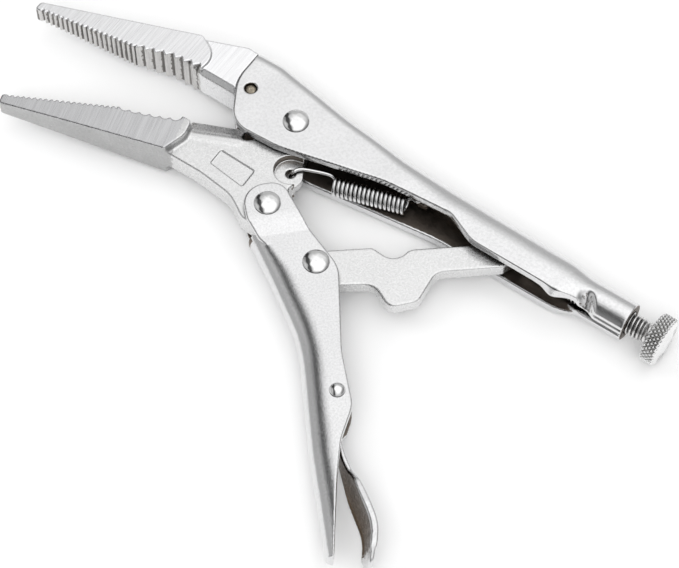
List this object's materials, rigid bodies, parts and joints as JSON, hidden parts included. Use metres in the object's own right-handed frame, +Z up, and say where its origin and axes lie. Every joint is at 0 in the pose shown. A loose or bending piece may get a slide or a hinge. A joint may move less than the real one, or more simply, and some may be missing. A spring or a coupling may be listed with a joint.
{
  "type": "long-nose locking pliers",
  "caption": "Long-nose locking pliers in plated steel, opened wide: pressed handles, toggle link, tension spring, release lever and knurled adjusting screw.",
  "frame": {"origin": "middle of the tool's box at the level of its lowest rivet head, the tool lying on its side", "axes": "+X back along the adjusting screw, +Y towards the back of the upper handle, +Z up, square to the flat side"},
  "size_m": [0.1814, 0.1028, 0.0136],
  "materials": {
    "plated_sheet": "satin nickel plate over pressed sheet",
    "forged_steel": "satin nickel plate over forged grain",
    "rivet_steel": "polished domes",
    "dark_pin": "dull, flush",
    "spring_wire": "bright drawn wire",
    "screw_steel": "bright cut thread",
    "knob_steel": "bright, diamond knurled"
  },
  "bodies": {
    "upper_handle": {"upper_handle": "plated_sheet", "spring_anchor": "plated_sheet", "upper_jaw": "forged_steel", "jaw_pin": "dark_pin", "main_rivet": "rivet_steel", "tension_spring": "spring_wire"},
    "lower_jaw": {"lower_jaw": "forged_steel"},
    "lower_handle": {"lower_handle": "plated_sheet", "handle_rivet": "rivet_steel", "link_rivet": "rivet_steel", "lever_pin": "rivet_steel"},
    "toggle_link": {"toggle_link": "forged_steel"},
    "release_lever": {"release_lever": "plated_sheet"},
    "screw_tip": {"screw_tip": "screw_steel"},
    "adjusting_screw": {"adjusting_screw": "screw_steel", "adjusting_knob": "knob_steel"}
  },
  "joints": [
    {"name": "jaw_pivot", "type": "hinge", "parent": "upper_handle", "child": "lower_jaw", "pos_m": [-0.015, 0.03843, 0.0068], "axis": [0, 0, 1], "range_deg": [-16.9, 0], "deforming": ["tension_spring"]},
    {"name": "handle_pivot", "type": "hinge", "parent": "lower_jaw", "child": "lower_handle", "pos_m": [-0.00725, 0.01543, 0.0068], "axis": [0, 0, 1], "range_deg": [0, 57.4]},
    {"name": "link_pivot", "type": "hinge", "parent": "lower_handle", "child": "toggle_link", "pos_m": [0.0114, 0.00913, 0.0068], "axis": [0, 0, 1], "range_deg": [-58.1, 0]},
    {"name": "lever_pivot", "type": "hinge", "parent": "lower_handle", "child": "release_lever", "pos_m": [0.03505, -0.01629, 0.0068], "axis": [0, 0, 1], "range_deg": [-3, 3]},
    {"name": "screw_slide", "type": "slide", "parent": "upper_handle", "child": "screw_tip", "axis": [1, 0, 0], "range_m": [0, 0.008]},
    {"name": "screw_turn", "type": "hinge", "parent": "screw_tip", "child": "adjusting_screw", "pos_m": [0.085, 0.03943, 0.0068], "axis": [1, 0, 0], "range_deg": [0, 2881]}
  ],
  "couplings": [
    {"joint": "jaw_pivot", "follows": "handle_pivot", "ratio": -0.29218},
    {"joint": "link_pivot", "follows": "handle_pivot", "ratio": -1.0106},
    {"joint": "screw_turn", "follows": "screw_slide", "rad_per_m": 6283.2}
  ]
}
